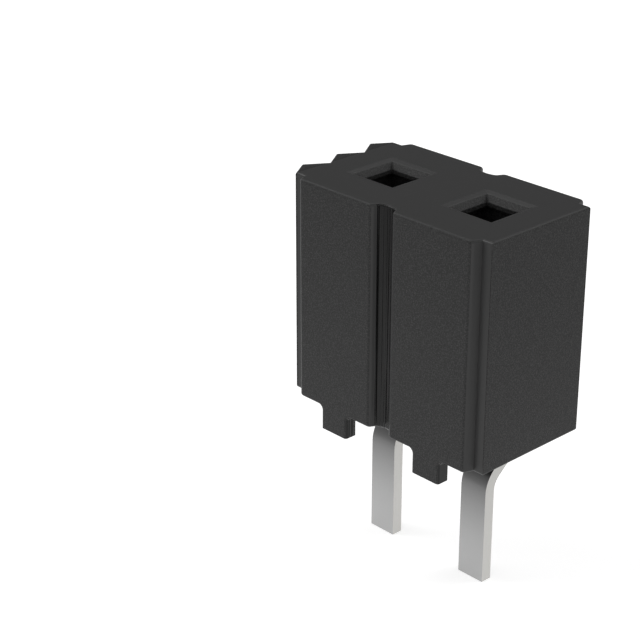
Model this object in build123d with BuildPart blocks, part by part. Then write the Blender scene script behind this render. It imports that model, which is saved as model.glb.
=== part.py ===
from build123d import *
import math
import os

os.makedirs("parts", exist_ok=True)

# Socket header of one row, to solder on a board. Millimetres, +Z up, the row along X.
# The origin is on the board's surface, under the feet, midway between the first and last tail.

# Row
positions = 2
pitch = 2.54

# Housing block
housing_depth = 3.13
housing_height = 4.70
flat_end_extra = 0.04         # plain end wall, past half a pitch from the last cell
ridged_end_extra = 0.015      # roots of the ridges, past half a pitch from the first cell
corner_round = 0.07           # upright corners of both ends
edge_round = 0.055            # rim round the top, round the underside, and the feet's upright corners

# Grooves down both long faces, between the cells, with half a groove at each end
groove_mouth = 0.56
groove_floor = 0.40
groove_depth = 0.205
groove_floor_bow = 0.05       # middle of the floor between cells, deeper than its sides
groove_lip_round = 0.10
groove_floor_round = 0.10     # between the floor and its flanks

# Upright ridges that cover one end
ridge_count = 3
ridge_pitch = 0.942
ridge_height = 0.31
ridge_tip_round = 0.07
ridge_root_round = 0.04

# Feet, one for each cell on each long face
foot_height = 0.50
foot_width = 0.71
foot_thickness = 0.27
foot_root_round = 0.10

# Lead-in of each cell: a shallow dished rim, a funnel, then a square throat
rim_width = 1.28
rim_depth = 0.035
funnel_width = 1.09
funnel_depth = 0.13
throat_width = 0.90
throat_depth = 0.08
throat_round = 0.03           # edge between the funnel and the throat

# Hollow of each cell below the throat: a well round the spring tips, then the contact chamber
well_width = 1.44
well_length = 1.24
chamber_width = 1.60
chamber_length = 2.00
chamber_height = 2.80
chamber_mouth_chamfer = 0.06

# Contact, stamped and folded from one strip
strip_thickness = 0.25
fold_radius = 0.10            # inside of the folds in the box
seat_clearance = 0.03         # back of the contact to the chamber's wall
side_clearance = 0.10         # arms to the chamber's walls
stop_clearance = 0.02         # head of the contact to the chamber's ceiling
shoulder_start = 0.12         # chamber's mouth up to the shoulders
shoulder_height = 0.50
shoulder_width = 1.30
barb_height = 0.22
barb_flat = 0.08
neck_height = 0.12
neck_width = 0.90
arm_height = 1.25
arm_reach = 0.40              # how far the arms come forward of the cell's centre
head_width = 0.90
head_round = 0.12

# Twin springs, which rise from the arms and pinch the pin
spring_gap = 0.41
spring_upright = 0.12         # arms' tops up to the first bend
spring_rise = 1.25            # top of the arms up to the pinch
spring_tip_rise = 0.50        # pinch up to the tips
spring_tip_gap = 0.72
spring_root_width = 0.80
spring_tip_width = 0.50
spring_bend_radius = 0.40

# Solder tail, cranked from the back of the chamber to the cell's centre
tail_width = 0.65
tail_end = 2.82               # board's surface down to the cut end
tail_straight_start = 0.80    # board's surface down to the first bend
tail_lean = 51.0              # degrees from upright between the bends
tail_bend_radius = 0.40       # inside of the bends

half_row = pitch * (positions - 1) / 2
cells = [cell * pitch - half_row for cell in range(positions)]
face_y = housing_depth / 2
floor_y = face_y - groove_depth
bowed_floor_side_y = floor_y + groove_floor_bow
flat_end_x = cells[-1] + pitch / 2 + flat_end_extra
ridged_end_x = cells[0] - pitch / 2 - ridged_end_extra
ridge_tip_x = ridged_end_x - ridge_height
underside = foot_height
top = underside + housing_height
throat_top = top - rim_depth - funnel_depth
throat_bottom = throat_top - throat_depth
ceiling = underside + chamber_height
near = 1e-4


def groove_outline(centre_x, side):
    """Lines of one groove: between cells its floor is bowed, and the ones at the ends run out level."""
    left_mouth = centre_x - groove_mouth / 2
    left_floor = centre_x - groove_floor / 2
    right_mouth = centre_x + groove_mouth / 2
    right_floor = centre_x + groove_floor / 2
    middle_y = side * floor_y
    floor_side_y = side * bowed_floor_side_y
    if centre_x < cells[0]:
        left_mouth = left_floor = ridge_tip_x - ridge_height
        floor_side_y = middle_y
    if centre_x > cells[-1]:
        right_mouth = right_floor = flat_end_x + ridge_height
        floor_side_y = middle_y
    outer_y = side * (face_y + groove_depth)
    Polyline(
        (left_floor, floor_side_y),
        (left_mouth, side * face_y),
        (left_mouth, outer_y),
        (right_mouth, outer_y),
        (right_mouth, side * face_y),
        (right_floor, floor_side_y),
    )
    if floor_side_y == middle_y:
        Line((left_floor, middle_y), (right_floor, middle_y))
    else:
        ThreePointArc((left_floor, floor_side_y), (centre_x, middle_y), (right_floor, floor_side_y))


def is_at(value, places):
    """True where a coordinate is one of the given places."""
    return any(abs(value - place) < near for place in places)


with BuildPart() as housing:
    # Plan of the block, with its ridges and grooves
    with BuildSketch(Plane.XY.offset(underside)) as plan:
        with Locations(((flat_end_x + ridged_end_x) / 2, 0)):
            Rectangle(flat_end_x - ridged_end_x, housing_depth)
        for ridge in range(ridge_count):
            ridge_y = (ridge - (ridge_count - 1) / 2) * ridge_pitch
            with BuildLine():
                Polyline(
                    (ridged_end_x, ridge_y - ridge_pitch / 2),
                    (ridge_tip_x, ridge_y),
                    (ridged_end_x, ridge_y + ridge_pitch / 2),
                    close=True,
                )
            make_face()
        for groove_x in [cells[0] - pitch / 2] + [cell_x + pitch / 2 for cell_x in cells]:
            for side in (-1, 1):
                with BuildLine():
                    groove_outline(groove_x, side)
                make_face(mode=Mode.SUBTRACT)
        corners = plan.vertices()
        lips = corners.filter_by(lambda v: is_at(abs(v.Y), [face_y]))
        tips = corners.filter_by(lambda v: is_at(v.X, [ridge_tip_x]))
        roots = corners.filter_by(lambda v: is_at(v.X, [ridged_end_x]) and abs(v.Y) < floor_y - near)
        floor_ends = corners.filter_by(lambda v: is_at(abs(v.Y), [floor_y, bowed_floor_side_y]))
        end_corners = floor_ends.filter_by(lambda v: v.X > flat_end_x - near or v.X < ridged_end_x - near)
        floor_sides = [v for v in floor_ends if v not in end_corners]
        fillet(lips, groove_lip_round)
        fillet(floor_sides, groove_floor_round)
        fillet(end_corners, corner_round)
        fillet(tips, ridge_tip_round)
        fillet(roots, ridge_root_round)
    extrude(amount=housing_height)

    # Feet, flush with the long faces
    for side in (-1, 1):
        with BuildSketch(Plane.XZ.offset(-side * face_y)) as feet:
            with Locations(*[(cell_x, underside + foot_root_round) for cell_x in cells]):
                Rectangle(foot_width + 4 * foot_root_round, 2 * foot_root_round)
            with Locations(*[(cell_x, foot_height / 2) for cell_x in cells]):
                Rectangle(foot_width, foot_height)
            foot_sides = [cell_x + way * foot_width / 2 for cell_x in cells for way in (-1, 1)]
            foot_corners = feet.vertices().filter_by(lambda v: is_at(v.X, foot_sides))
            fillet(foot_corners.group_by(Axis.Y)[-1], foot_root_round)
        extrude(amount=side * foot_thickness)

    # Rim round the top, and the lower edge of every side wall down to the feet's sharp tips
    fillet(housing.faces().sort_by(Axis.Z)[-1].outer_wire().edges(), edge_round)
    walls = [f for f in housing.faces() if f.bounding_box().size.Z > housing_height - 2 * edge_round]
    low_edges = [
        e for wall in walls for e in wall.edges() if near < e.bounding_box().max.Z < underside + near
    ]
    fillet(low_edges, edge_round)

    # Lead-in, well and chamber of each cell
    for cell_x in cells:
        for start, start_width, end, end_width in (
            (top, rim_width, top - rim_depth, funnel_width),
            (top - rim_depth, funnel_width, throat_top, throat_width),
        ):
            with BuildSketch(Plane.XY.offset(start)):
                with Locations((cell_x, 0)):
                    Rectangle(start_width, start_width)
            with BuildSketch(Plane.XY.offset(end)):
                with Locations((cell_x, 0)):
                    Rectangle(end_width, end_width)
            loft(mode=Mode.SUBTRACT)
    for bottom, width, length, height in (
        (throat_bottom, throat_width, throat_width, throat_depth),
        (ceiling, well_width, well_length, throat_bottom - ceiling),
        (underside, chamber_width, chamber_length, chamber_height),
    ):
        with BuildSketch(Plane.XY.offset(bottom)):
            with Locations(*[(cell_x, 0) for cell_x in cells]):
                Rectangle(width, length)
        extrude(amount=height, mode=Mode.SUBTRACT)
    throat_edges = housing.edges().filter_by(
        lambda e: e.length > throat_width - near and is_at(e.center().Z, [throat_top])
    )
    fillet(throat_edges, throat_round)
    undersides = housing.faces().filter_by(lambda f: is_at(f.center().Z, [underside]))
    chamfer(undersides.sort_by(SortBy.AREA)[-1].inner_wires().edges(), chamber_mouth_chamfer)

housing.part.label = "housing"
export_step(housing.part, "parts/housing.step")

# Contact: levels up the strip, and the places of its walls
back_y = chamber_length / 2 - seat_clearance
plate_y = back_y - strip_thickness / 2
arm_span = chamber_width - 2 * side_clearance
arm_x = (arm_span - strip_thickness) / 2
shoulder_z = underside + shoulder_start
neck_z = shoulder_z + shoulder_height
box_z = neck_z + neck_height
arm_top = box_z + arm_height
head_top = ceiling - stop_clearance
pinch_z = arm_top + spring_rise
tip_z = pinch_z + spring_tip_rise
bend_line_radius = tail_bend_radius + strip_thickness / 2
bend_tangent = bend_line_radius * math.tan(math.radians(tail_lean) / 2)
lower_corner_z = -tail_straight_start + bend_tangent
upper_corner_z = lower_corner_z + plate_y / math.tan(math.radians(tail_lean))

for number, cell_x in enumerate(cells, start=1):
    back_plane = Plane(origin=(cell_x, back_y, 0), x_dir=(1, 0, 0), z_dir=(0, -1, 0))
    side_plane = Plane(origin=(cell_x, 0, 0), x_dir=(0, 1, 0), z_dir=(1, 0, 0))
    spring_plane = Plane(origin=(cell_x, spring_root_width / 2, 0), x_dir=(1, 0, 0), z_dir=(0, -1, 0))
    box_plane = Plane(origin=(cell_x, 0, box_z))

    with BuildPart() as contact:
        # Flat back: barbed shoulders, neck and head
        with BuildSketch(back_plane) as back:
            with Locations((0, shoulder_z + shoulder_height / 2)):
                Rectangle(shoulder_width, shoulder_height)
            for way in (-1, 1):
                with BuildLine():
                    Polyline(
                        (way * shoulder_width / 2, neck_z),
                        (way * chamber_width / 2, neck_z - barb_height + barb_flat),
                        (way * chamber_width / 2, neck_z - barb_height),
                        (way * shoulder_width / 2, neck_z - barb_height),
                        close=True,
                    )
                make_face()
            with Locations((0, (neck_z + arm_top) / 2)):
                Rectangle(neck_width, arm_top - neck_z)
            with Locations((0, (arm_top + head_top) / 2)):
                Rectangle(head_width, head_top - arm_top)
            fillet(back.vertices().group_by(Axis.Y)[-1], head_round)
        extrude(amount=strip_thickness)

        # Arms, folded forward from both sides of the back
        with BuildSketch(box_plane) as box:
            with Locations((0, (back_y - arm_reach) / 2)):
                Rectangle(arm_span, back_y + arm_reach)
            fillet(box.vertices().group_by(Axis.Y)[-1], fold_radius + strip_thickness)
            with BuildSketch(mode=Mode.SUBTRACT) as inside:
                with Locations((0, (back_y - strip_thickness - arm_reach) / 2)):
                    Rectangle(arm_span - 2 * strip_thickness, back_y - strip_thickness + arm_reach)
                fillet(inside.vertices().group_by(Axis.Y)[-1], fold_radius)
        extrude(amount=arm_height)

        # Springs: upright at the arms, leaning in to the pinch, then flared, and tapering to the tips
        with BuildSketch(spring_plane):
            with BuildLine():
                FilletPolyline(
                    (arm_x, arm_top),
                    (arm_x, arm_top + spring_upright),
                    ((spring_gap + strip_thickness) / 2, pinch_z),
                    ((spring_tip_gap + strip_thickness) / 2, tip_z),
                    radius=spring_bend_radius,
                )
            trace(line_width=strip_thickness)
            mirror(about=Plane.YZ)
        extrude(amount=spring_root_width)
        for way in (-1, 1):
            with BuildSketch(side_plane):
                with BuildLine():
                    Polyline(
                        (way * spring_root_width / 2, arm_top),
                        (way * spring_tip_width / 2, tip_z + strip_thickness),
                        (way * spring_root_width / 2, tip_z + strip_thickness),
                        close=True,
                    )
                make_face()
            extrude(amount=chamber_width / 2, both=True, mode=Mode.SUBTRACT)

        # Tail, from the shoulders down to the cut end
        with BuildSketch(side_plane):
            with BuildLine():
                FilletPolyline(
                    (plate_y, shoulder_z),
                    (plate_y, upper_corner_z),
                    (0, lower_corner_z),
                    (0, -tail_end),
                    radius=bend_line_radius,
                )
            trace(line_width=strip_thickness)
        extrude(amount=tail_width / 2, both=True)

    contact.part.label = f"contact_{number}"
    export_step(contact.part, f"parts/contact_{number}.step")
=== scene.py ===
import math

import bpy
from mathutils import Euler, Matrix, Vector


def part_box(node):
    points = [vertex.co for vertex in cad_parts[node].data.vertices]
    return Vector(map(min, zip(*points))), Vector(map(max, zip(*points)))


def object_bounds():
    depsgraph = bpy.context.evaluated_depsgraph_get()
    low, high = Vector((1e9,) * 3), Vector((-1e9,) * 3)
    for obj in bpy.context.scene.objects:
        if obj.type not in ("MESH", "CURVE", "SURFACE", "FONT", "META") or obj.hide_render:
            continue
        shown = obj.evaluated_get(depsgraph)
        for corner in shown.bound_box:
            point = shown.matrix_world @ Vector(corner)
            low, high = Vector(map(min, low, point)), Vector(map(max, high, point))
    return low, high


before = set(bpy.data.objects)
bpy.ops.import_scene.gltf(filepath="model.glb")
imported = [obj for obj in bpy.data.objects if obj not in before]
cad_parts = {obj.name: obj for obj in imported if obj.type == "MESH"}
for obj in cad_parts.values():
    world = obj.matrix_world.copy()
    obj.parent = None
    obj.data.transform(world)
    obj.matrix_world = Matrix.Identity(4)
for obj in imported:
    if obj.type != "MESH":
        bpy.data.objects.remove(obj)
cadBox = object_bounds()
print("frame loaded:", ", ".join(sorted(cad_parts)))

mm = 0.001
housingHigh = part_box("housing")[1]
contactLow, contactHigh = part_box("contact_2")
halfPitch = (contactLow.x + contactHigh.x) / 2      # from the middle of the row to a cell
rowEnd = 2 * halfPitch      # from the middle of the row to where its last cell ends
footTop = 0.50 * mm         # up from the board's surface to the underside of the block


# sRGB hex code to linear red, green, blue and alpha
def linearColour(hexCode):
    channels = [int(hexCode[i:i + 2], 16) / 255 for i in (1, 3, 5)]
    linear = [c / 12.92 if c <= 0.04045 else ((c + 0.055) / 1.055) ** 2.4 for c in channels]
    return (*linear, 1.0)


# settings are the node's own options; an input is linked where it is given a socket, otherwise set
def addNode(tree, kind, settings, inputs):
    node = tree.nodes.new(kind)
    for option, value in settings.items():
        setattr(node, option, value)
    for name, value in inputs.items():
        if isinstance(value, bpy.types.NodeSocket):
            tree.links.new(value, node.inputs[name])
        else:
            node.inputs[name].default_value = value
    return node.outputs


def newMaterial(name):
    material = bpy.data.materials.new(name)
    material.use_nodes = True
    material.node_tree.nodes.clear()
    return material, material.node_tree


# Camera, at the photo's viewing angle
cameraView = {
    "place": (21.955 * mm, -23.668 * mm, 16.918 * mm),
    "tilt": 65.808,         # degrees up from straight down
    "turn": 46.906,         # degrees round from looking along +Y
    "lens": 100.66,
    "sensor": 36.0,
    "nearest": 1 * mm,      # closer things aren't drawn
    "furthest": 10.0,       # metres
}


def makeCamera(v):
    data = bpy.data.cameras.new("photoCamera")
    data.lens = v["lens"]
    data.sensor_width = v["sensor"]
    data.clip_start = v["nearest"]
    data.clip_end = v["furthest"]
    camera = bpy.data.objects.new("photoCamera", data)
    camera.location = v["place"]
    camera.rotation_euler = Euler((math.radians(v["tilt"]), 0.0, math.radians(v["turn"])))
    bpy.context.scene.collection.objects.link(camera)
    bpy.context.scene.camera = camera


makeCamera(cameraView)
print("camera placed")


# Housing: glass-filled PBT, black, injection-moulded.
# The outer flats, the ridges and the lead-ins came off spark-eroded steel: a fine matt grain with paler
# specks, where the glass lies near the skin, and a broad, weak sheen. The top, the rounded edges and the
# end grooves are smooth and matt, and painted paler than the grain: painted light, for the lamp light
# that the plain end's corner and the flank of its groove don't get. The grooves between the cells and
# the feet's sides came off steel with a mirror polish and are glossier, in the grooves with upright drag
# lines from leaving the mould; they are painted a deeper black, as painted shade in the recesses and
# under the block.
housingLook = {
    "grainColour": "#1f1f1f",
    "speckColour": "#3b3b3b",
    # painted light: paler than the grain, for the lamp light that the plain end's corner and the flank of
    # its groove don't get
    "smoothPaintedLightColour": "#373737",
    # painted shade: the deeper black of the grooves and the feet's sides
    "paintedShadeColour": "#0b0b0b",
    "ior": 1.50,
    "specular": 0.28,
    "grainRoughness": 0.50,
    "smoothRoughness": 0.32,
    "polishedRoughness": 0.24,
    "grainSize": 0.026,     # mm across one pit of the spark-eroded grain
    "grainHeight": 0.006,   # mm
    "grainDetail": 2.0,     # finer layers of noise in the grain
    "specksFrom": 0.45,     # level of the grain's noise where a speck starts
    "specksTo": 0.70,
    "dragWidth": 0.035,     # mm across one drag line, real ones are finer: this coarse, they show
    "dragLength": 6.0,      # mm
    "dragHeight": 0.018,    # mm
    "dragDetail": 1.0,      # finer layers of noise in the drag lines
    "faceBand": 0.012,      # mm in from the outermost plane that still counts as the flat face
    "bandBlur": 0.010,      # mm over which one finish runs into the next
    "polishAndShadeDepth": 0.11,  # mm in from the long faces, where the polish and its painted shade start
    "leadInReach": 0.64,    # mm from a cell's centre to the edge of its lead-in
    "dishDepth": 0.035,     # mm below the top where the lead-in's grain starts
}


def makeHousingMaterial(v):
    material, tree = newMaterial("glassFilledPbtMoulded")
    place = addNode(tree, "ShaderNodeTexCoord", {}, {})["Object"]
    axes = addNode(tree, "ShaderNodeSeparateXYZ", {}, {0: place})
    acrossRow = addNode(tree, "ShaderNodeMath", {"operation": "ABSOLUTE"}, {0: axes["Y"]})[0]
    alongRow = addNode(tree, "ShaderNodeMath", {"operation": "ABSOLUTE"}, {0: axes["X"]})[0]
    band = v["faceBand"] * mm
    blur = v["bandBlur"] * mm
    reach = v["leadInReach"] * mm

    # each of these is 1 on its own surfaces and 0 elsewhere
    longFaces = addNode(tree, "ShaderNodeMapRange", {},
                        {"Value": acrossRow, "From Min": housingHigh.y - band - blur,
                         "From Max": housingHigh.y - band})[0]
    plainEnd = addNode(tree, "ShaderNodeMapRange", {},
                       {"Value": axes["X"], "From Min": housingHigh.x - band - blur,
                        "From Max": housingHigh.x - band})[0]
    flats = addNode(tree, "ShaderNodeMath", {"operation": "MAXIMUM"}, {0: longFaces, 1: plainEnd})[0]
    belowTop = addNode(tree, "ShaderNodeMapRange", {},
                       {"Value": axes["Z"], "From Min": housingHigh.z - v["dishDepth"] * mm,
                        "From Max": housingHigh.z - v["dishDepth"] * mm - blur})[0]
    nearRow = addNode(tree, "ShaderNodeMath", {"operation": "LESS_THAN"}, {0: acrossRow, 1: reach})[0]
    nearCells = addNode(tree, "ShaderNodeMath", {"operation": "LESS_THAN"},
                        {0: alongRow, 1: halfPitch + reach})[0]
    overCells = addNode(tree, "ShaderNodeMath", {"operation": "MINIMUM"}, {0: nearRow, 1: nearCells})[0]
    leadIns = addNode(tree, "ShaderNodeMath", {"operation": "MULTIPLY"}, {0: belowTop, 1: overCells})[0]
    ridges = addNode(tree, "ShaderNodeMath", {"operation": "LESS_THAN"}, {0: axes["X"], 1: -rowEnd})[0]
    grained = addNode(tree, "ShaderNodeMath", {"operation": "MAXIMUM"}, {0: flats, 1: leadIns})[0]
    grained = addNode(tree, "ShaderNodeMath", {"operation": "MAXIMUM"}, {0: grained, 1: ridges})[0]
    deep = v["polishAndShadeDepth"] * mm
    offFaces = addNode(tree, "ShaderNodeMapRange", {},
                       {"Value": acrossRow, "From Min": housingHigh.y - deep + blur,
                        "From Max": housingHigh.y - deep})[0]
    offEnds = addNode(tree, "ShaderNodeMath", {"operation": "LESS_THAN"}, {0: alongRow, 1: halfPitch})[0]
    onFeet = addNode(tree, "ShaderNodeMath", {"operation": "LESS_THAN"}, {0: axes["Z"], 1: footTop})[0]
    footSides = addNode(tree, "ShaderNodeMath", {"operation": "SUBTRACT", "use_clamp": True},
                        {0: onFeet, 1: longFaces})[0]
    offTop = addNode(tree, "ShaderNodeMath", {"operation": "LESS_THAN"},
                     {0: axes["Z"], 1: housingHigh.z - blur})[0]
    outsideCells = addNode(tree, "ShaderNodeMath", {"operation": "SUBTRACT"}, {0: 1.0, 1: overCells})[0]
    grooves = addNode(tree, "ShaderNodeMath", {"operation": "MINIMUM"}, {0: offFaces, 1: offEnds})[0]
    grooves = addNode(tree, "ShaderNodeMath", {"operation": "MINIMUM"}, {0: grooves, 1: offTop})[0]
    grooves = addNode(tree, "ShaderNodeMath", {"operation": "MINIMUM"}, {0: grooves, 1: outsideCells})[0]
    # the grooves and the feet's sides: glossier, and painted a deeper black as painted shade
    polishedAndShaded = addNode(tree, "ShaderNodeMath", {"operation": "MAXIMUM"}, {0: grooves, 1: footSides})[0]

    grain = addNode(tree, "ShaderNodeTexNoise", {},
                    {"Vector": place, "Scale": 1 / (v["grainSize"] * mm), "Detail": v["grainDetail"]})[0]
    across = 1 / (v["dragWidth"] * mm)
    stretched = addNode(tree, "ShaderNodeMapping", {},
                        {"Vector": place, "Scale": (across, across, 1 / (v["dragLength"] * mm))})[0]
    drag = addNode(tree, "ShaderNodeTexNoise", {},
                   {"Vector": stretched, "Scale": 1.0, "Detail": v["dragDetail"]})[0]
    # heights are in mm, which the bump's distance turns into metres
    pits = addNode(tree, "ShaderNodeMath", {"operation": "MULTIPLY"}, {0: grain, 1: grained})[0]
    pits = addNode(tree, "ShaderNodeMath", {"operation": "MULTIPLY"}, {0: pits, 1: v["grainHeight"]})[0]
    lines = addNode(tree, "ShaderNodeMath", {"operation": "MULTIPLY"}, {0: drag, 1: grooves})[0]
    height = addNode(tree, "ShaderNodeMath", {"operation": "MULTIPLY_ADD"},
                     {0: lines, 1: v["dragHeight"], 2: pits})[0]
    bump = addNode(tree, "ShaderNodeBump", {}, {"Height": height, "Distance": 1 * mm})[0]

    specks = addNode(tree, "ShaderNodeMapRange", {},
                     {"Value": grain, "From Min": v["specksFrom"], "From Max": v["specksTo"]})[0]
    colour = addNode(tree, "ShaderNodeMix", {"data_type": "RGBA"},
                     {0: specks, 6: linearColour(v["grainColour"]),
                      7: linearColour(v["speckColour"])})[2]
    # painted light: the smooth surfaces take the paler smooth colour
    colour = addNode(tree, "ShaderNodeMix", {"data_type": "RGBA"},
                     {0: grained, 6: linearColour(v["smoothPaintedLightColour"]), 7: colour})[2]
    # painted shade: the grooves and the feet's sides are painted a deeper black
    colour = addNode(tree, "ShaderNodeMix", {"data_type": "RGBA"},
                     {0: polishedAndShaded, 6: colour, 7: linearColour(v["paintedShadeColour"])})[2]
    roughness = addNode(tree, "ShaderNodeMapRange", {},
                        {"Value": grained, "To Min": v["smoothRoughness"],
                         "To Max": v["grainRoughness"]})[0]
    roughness = addNode(tree, "ShaderNodeMapRange", {},
                        {"Value": polishedAndShaded, "To Min": roughness, "To Max": v["polishedRoughness"]})[0]
    shader = addNode(tree, "ShaderNodeBsdfPrincipled", {},
                     {"Base Color": colour, "Roughness": roughness, "Normal": bump,
                      "IOR": v["ior"], "Specular IOR Level": v["specular"]})[0]
    addNode(tree, "ShaderNodeOutputMaterial", {}, {"Surface": shader})
    return material


# Contacts: phosphor bronze strip, stamped and folded, matt tin plated.
# Matt tin is a pale grey metal with a soft, wide reflection and a faint grain along the rolled strip.
# Up towards the bends, under the housing, it is painted darker, as painted shade. The sheared edges are
# painted paler and a little warmer, as painted light from the sides, and are rougher.
contactLook = {
    "colour": "#b0b0b0",
    # painted shade under the housing, darkest at the bends
    "housingShadeColour": "#656565",
    # painted light from the sides on the sheared edges
    "cutPaintedLightColour": "#c9c8c5",
    "roughness": 0.34,
    "cutRoughness": 0.50,
    "grainLength": 0.40,     # mm along the strip
    "grainWidth": 0.03,      # mm across the strip, coarser than the real rolled grain, so that it shows
    "grainHeight": 0.0008,   # mm
    "grainDetail": 2.0,      # finer layers of noise in the grain
    "shadeHeight": -0.50,     # mm, where the painted shade is darkest
    "shadeGather": 2.0,       # how closely the painted shade keeps to the bend
    "cutFacing": 0.9,        # how squarely a sheared edge faces along the row
}


def makeContactMaterial(v):
    material, tree = newMaterial("phosphorBronzeTinPlated")
    coordinates = addNode(tree, "ShaderNodeTexCoord", {}, {})
    across = 1 / (v["grainWidth"] * mm)
    stretched = addNode(tree, "ShaderNodeMapping", {},
                        {"Vector": coordinates["Object"],
                         "Scale": (across, across, 1 / (v["grainLength"] * mm))})[0]
    grain = addNode(tree, "ShaderNodeTexNoise", {},
                    {"Vector": stretched, "Scale": 1.0, "Detail": v["grainDetail"]})[0]
    bump = addNode(tree, "ShaderNodeBump", {}, {"Height": grain, "Distance": v["grainHeight"] * mm})[0]

    facing = addNode(tree, "ShaderNodeSeparateXYZ", {}, {0: coordinates["Normal"]})["X"]
    squarely = addNode(tree, "ShaderNodeMath", {"operation": "ABSOLUTE"}, {0: facing})[0]
    cut = addNode(tree, "ShaderNodeMath", {"operation": "GREATER_THAN"},
                  {0: squarely, 1: v["cutFacing"]})[0]
    up = addNode(tree, "ShaderNodeSeparateXYZ", {}, {0: coordinates["Object"]})["Z"]
    # painted shade: darker up towards the housing, whose underside shades the tails
    rise = addNode(tree, "ShaderNodeMapRange", {},
                   {"Value": up, "From Min": cadBox[0].z, "From Max": v["shadeHeight"] * mm})[0]
    paintedShade = addNode(tree, "ShaderNodeMath", {"operation": "POWER"}, {0: rise, 1: v["shadeGather"]})[0]
    colour = addNode(tree, "ShaderNodeMix", {"data_type": "RGBA"},
                     {0: paintedShade, 6: linearColour(v["colour"]), 7: linearColour(v["housingShadeColour"])})[2]
    # painted light: the sheared edges are painted paler and warmer
    colour = addNode(tree, "ShaderNodeMix", {"data_type": "RGBA"},
                     {0: cut, 6: colour, 7: linearColour(v["cutPaintedLightColour"])})[2]
    roughness = addNode(tree, "ShaderNodeMapRange", {},
                        {"Value": cut, "To Min": v["roughness"], "To Max": v["cutRoughness"]})[0]
    shader = addNode(tree, "ShaderNodeBsdfPrincipled", {},
                     {"Base Color": colour, "Normal": bump, "Metallic": 1.0, "Roughness": roughness})[0]
    addNode(tree, "ShaderNodeOutputMaterial", {}, {"Surface": shader})
    return material


housingMaterial = makeHousingMaterial(housingLook)
contactMaterial = makeContactMaterial(contactLook)
for name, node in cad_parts.items():
    node.data.materials.clear()
    node.data.materials.append(housingMaterial if name == "housing" else contactMaterial)
print("materials made")


# Studio: cartridge paper, uncoated and pressed, which is white and so matt that it mirrors nothing, under
# the tails, and a pale surround that is dimmer overhead and has one dim curtain, which the housing's top
# mirrors
studio = {
    "paperColour": "#f2f2f2",
    "paperRadius": 0.6,      # metres
    "paperSides": 96,        # straight edges round the sheet
    "paperGlow": 0.52,       # added where the paper is seen, so that it shows as white, 1
    "poolTurn": 46.906,      # degrees: the paper's glow is a painted pool of light, whitest along a strip that lies this way
    "poolCentre": -2.0,      # mm to the right of the object, seen along the pool
    "poolHalf": 5.5,         # mm from the pool's middle line to where it starts to fade
    "poolFade": 12.0,        # mm over which it fades
    "poolSpread": 0.17,      # mm wider for each mm further back or forward
    "surroundColour": "#e7e7e7",
    "sideLight": 0.80,       # how bright the surround is up to sideTop
    "overheadLight": 0.35,
    "sideTop": 45,           # degrees up, where the surround starts to dim
    "overheadStart": 70,     # degrees up, where it is as dim as overhead
    "curtainTurn": 43,       # degrees left of straight behind
    "curtainTilt": 24,       # degrees up to the curtain's middle
    "curtainEdge": 32,       # degrees from its middle to where it ends
    "curtainCore": 14,       # degrees from its middle to where it starts to fade
    "curtainShare": 0.83,    # of the surround's light that it takes away
}


def makeWorld(v):
    world = bpy.data.worlds.new("paleSurround")
    bpy.context.scene.world = world
    world.use_nodes = True
    tree = world.node_tree
    tree.nodes.clear()
    direction = addNode(tree, "ShaderNodeTexCoord", {}, {})["Generated"]
    up = addNode(tree, "ShaderNodeSeparateXYZ", {}, {0: direction})["Z"]
    light = addNode(tree, "ShaderNodeMapRange", {"interpolation_type": "SMOOTHSTEP"},
                    {"Value": up, "From Min": math.sin(math.radians(v["sideTop"])),
                     "From Max": math.sin(math.radians(v["overheadStart"])),
                     "To Min": v["sideLight"], "To Max": v["overheadLight"]})[0]
    turned = Euler((math.radians(v["curtainTilt"]), 0.0, math.radians(v["curtainTurn"])))
    middle = Vector((0.0, 1.0, 0.0))
    middle.rotate(turned)
    towards = addNode(tree, "ShaderNodeVectorMath", {"operation": "DOT_PRODUCT"},
                      {0: direction, 1: middle})["Value"]
    past = addNode(tree, "ShaderNodeMapRange", {"interpolation_type": "SMOOTHSTEP"},
                   {"Value": towards, "From Min": math.cos(math.radians(v["curtainEdge"])),
                    "From Max": math.cos(math.radians(v["curtainCore"])),
                    "To Min": 1.0, "To Max": 1.0 - v["curtainShare"]})[0]
    strength = addNode(tree, "ShaderNodeMath", {"operation": "MULTIPLY"}, {0: light, 1: past})[0]
    background = addNode(tree, "ShaderNodeBackground", {},
                         {"Color": linearColour(v["surroundColour"]), "Strength": strength})[0]
    addNode(tree, "ShaderNodeOutputWorld", {}, {"Surface": background})


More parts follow.
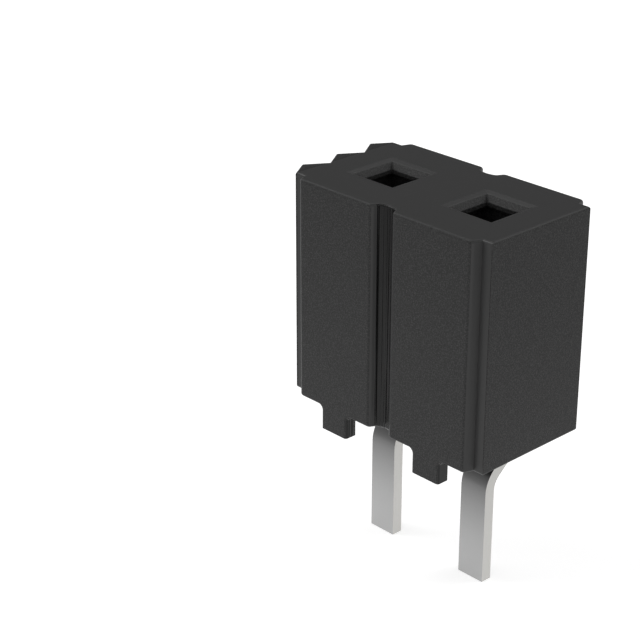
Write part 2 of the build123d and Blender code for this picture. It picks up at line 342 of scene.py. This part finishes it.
def makePaper(v):
    bpy.ops.mesh.primitive_circle_add(vertices=v["paperSides"], radius=v["paperRadius"],
                                      fill_type="NGON", location=(0, 0, cadBox[0].z))
    paper = bpy.context.object
    paper.name = "studioPaper"
    material, tree = newMaterial("whiteCartridgePaper")
    path = addNode(tree, "ShaderNodeLightPath", {}, {})
    seen = addNode(tree, "ShaderNodeMath", {"operation": "MAXIMUM"},
                   {0: path["Is Camera Ray"], 1: path["Is Glossy Ray"]})[0]
    seen = addNode(tree, "ShaderNodeMath", {"operation": "MAXIMUM"},
                   {0: seen, 1: path["Is Transmission Ray"]})[0]
    place = addNode(tree, "ShaderNodeTexCoord", {}, {})["Object"]
    turned = addNode(tree, "ShaderNodeMapping", {},
                     {"Vector": place, "Rotation": (0, 0, -math.radians(v["poolTurn"]))})[0]
    poolAxes = addNode(tree, "ShaderNodeSeparateXYZ", {}, {0: turned})
    offMiddle = addNode(tree, "ShaderNodeMath", {"operation": "SUBTRACT"},
                        {0: poolAxes["X"], 1: v["poolCentre"] * mm})[0]
    offMiddle = addNode(tree, "ShaderNodeMath", {"operation": "ABSOLUTE"}, {0: offMiddle})[0]
    away = addNode(tree, "ShaderNodeMath", {"operation": "ABSOLUTE"}, {0: poolAxes["Y"]})[0]
    offMiddle = addNode(tree, "ShaderNodeMath", {"operation": "MULTIPLY_ADD"},
                        {0: away, 1: -v["poolSpread"], 2: offMiddle})[0]
    # painted pool of light: the glow is full along the strip and fades to none away from it, so paper
    # mirrored from further off is darker
    paintedPool = addNode(tree, "ShaderNodeMapRange", {"interpolation_type": "SMOOTHSTEP"},
                   {"Value": offMiddle, "From Min": v["poolHalf"] * mm,
                    "From Max": (v["poolHalf"] + v["poolFade"]) * mm,
                    "To Min": v["paperGlow"], "To Max": 0.0})[0]
    glow = addNode(tree, "ShaderNodeMath", {"operation": "MULTIPLY"}, {0: seen, 1: paintedPool})[0]
    glowing = addNode(tree, "ShaderNodeEmission", {}, {"Strength": glow})[0]
    matt = addNode(tree, "ShaderNodeBsdfDiffuse", {}, {"Color": linearColour(v["paperColour"])})[0]
    both = addNode(tree, "ShaderNodeAddShader", {}, {0: matt, 1: glowing})[0]
    addNode(tree, "ShaderNodeOutputMaterial", {}, {"Surface": both})
    paper.data.materials.append(material)


# Disc lamps that draw the light line along an edge: frontLamp along the front rim, sideLamp along the
# plain end's rim and backLamp round the lead-ins. Place and size are in mm, and strength is how bright
# the disc itself looks.
lamps = {
    "frontLamp": {"place": (-186, -120, 201), "size": 180, "strength": 2.8},
    "sideLamp": {"place": (120, 201, 186), "size": 160, "strength": 2.1},
    "backLamp": {"place": (-125, 137, 235), "size": 150, "strength": 0.7},
}


def makeLamp(name, v):
    data = bpy.data.lights.new(name, "AREA")
    data.shape = "DISK"
    data.size = v["size"] * mm
    area = math.pi * (data.size / 2) ** 2
    data.energy = v["strength"] * math.pi * area    # watts that make the disc that bright
    lamp = bpy.data.objects.new(name, data)
    lamp.location = Vector(v["place"]) * mm
    target = (cadBox[0] + cadBox[1]) / 2
    lamp.rotation_euler = (target - lamp.location).to_track_quat("-Z", "Y").to_euler()
    bpy.context.scene.collection.objects.link(lamp)


makeWorld(studio)
makePaper(studio)
for name, values in lamps.items():
    makeLamp(name, values)
bpy.context.scene.view_settings.view_transform = "Standard"
print("studio lit")
